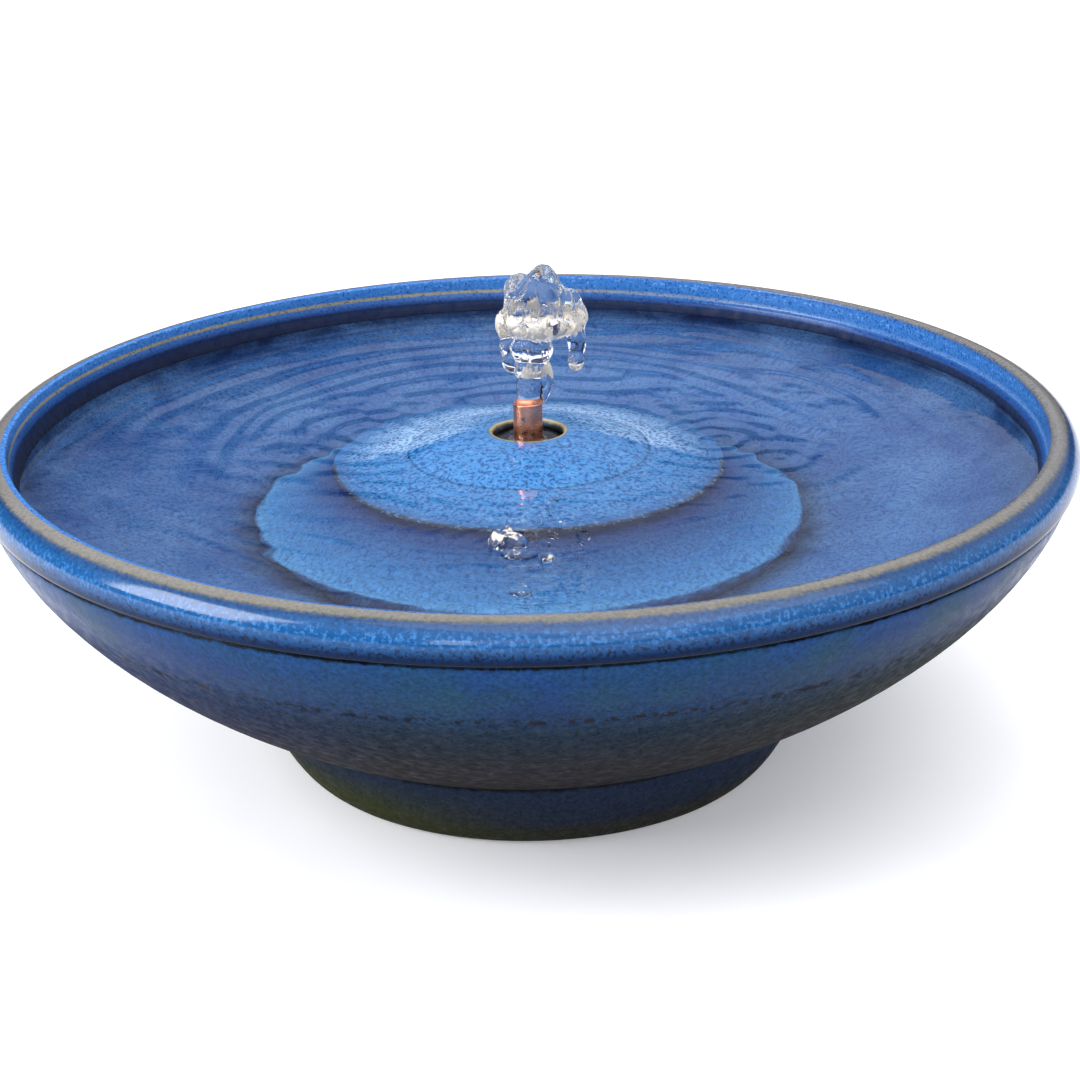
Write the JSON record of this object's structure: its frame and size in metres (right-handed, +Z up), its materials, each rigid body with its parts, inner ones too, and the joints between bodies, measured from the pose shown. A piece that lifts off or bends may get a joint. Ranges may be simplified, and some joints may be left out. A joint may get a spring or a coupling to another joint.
{
  "type": "bird bath",
  "caption": "Shallow glazed bird bath bowl on a foot ring with a domed pump cover, a copper bubbler spout and a small submersible pump.",
  "frame": {"origin": "centre of the foot ring, on the surface the bowl rests on", "axes": "+Z up along the bowl's axis; -Y towards the front, the pump's inlet faces -Y"},
  "size_m": [0.3559, 0.356, 0.1676],
  "materials": {
    "blue_glaze": "glossy hand-thrown glaze",
    "pale_blue_glaze": "glossy speckled glaze",
    "copper": "brushed copper",
    "clear_vinyl": "clear vinyl",
    "black_plastic": "moulded",
    "resin": "cast resin",
    "laminated_iron": "stacked laminations",
    "white_plastic": "moulded nylon",
    "enamelled_copper": "wound enamelled wire",
    "ferrite": "sintered ferrite",
    "alumina": "ground ceramic",
    "black_rubber": "moulded rubber",
    "grey_plastic": "moulded",
    "clear_rubber": "soft clear pvc",
    "water": "running water"
  },
  "bodies": {
    "bowl": {"bowl": "blue_glaze"},
    "pump": {"copper_spout": "copper", "spout_hose": "clear_vinyl", "outlet_nipple": "black_plastic", "pump_housing": "black_plastic", "potting": "resin", "stator_core": "laminated_iron", "coil_bobbin": "white_plastic", "coil_winding": "enamelled_copper", "rotor_shaft": "alumina", "shaft_bushes": "black_rubber", "volute_cover": "black_plastic", "suction_cups": "clear_rubber", "cord_gland": "black_rubber", "water_jet": "water"},
    "cover": {"pump_cover": "pale_blue_glaze"},
    "rotor": {"rotor_magnet": "ferrite", "impeller": "white_plastic"},
    "strainer": {"intake_strainer": "black_plastic"},
    "dial": {"flow_dial": "grey_plastic"}
  },
  "joints": [
    {"name": "pump_lift", "type": "slide", "parent": "bowl", "child": "pump", "axis": [0, 0, 1], "range_m": [0, 0.12]},
    {"name": "cover_lift", "type": "slide", "parent": "pump", "child": "cover", "axis": [0, 0, 1], "range_m": [0, 0.15], "deforming": ["water_jet"]},
    {"name": "rotor_spin", "type": "hinge", "parent": "pump", "child": "rotor", "pos_m": [0, 0, 0.06215], "axis": [0, 1, 0], "continuous": true},
    {"name": "strainer_pull", "type": "slide", "parent": "pump", "child": "strainer", "axis": [0, -1, 0], "range_m": [0, 0.02]},
    {"name": "dial_turn", "type": "hinge", "parent": "strainer", "child": "dial", "pos_m": [0, -0.02, 0.05815], "axis": [0, -1, 0], "range_deg": [0, 90]}
  ]
}
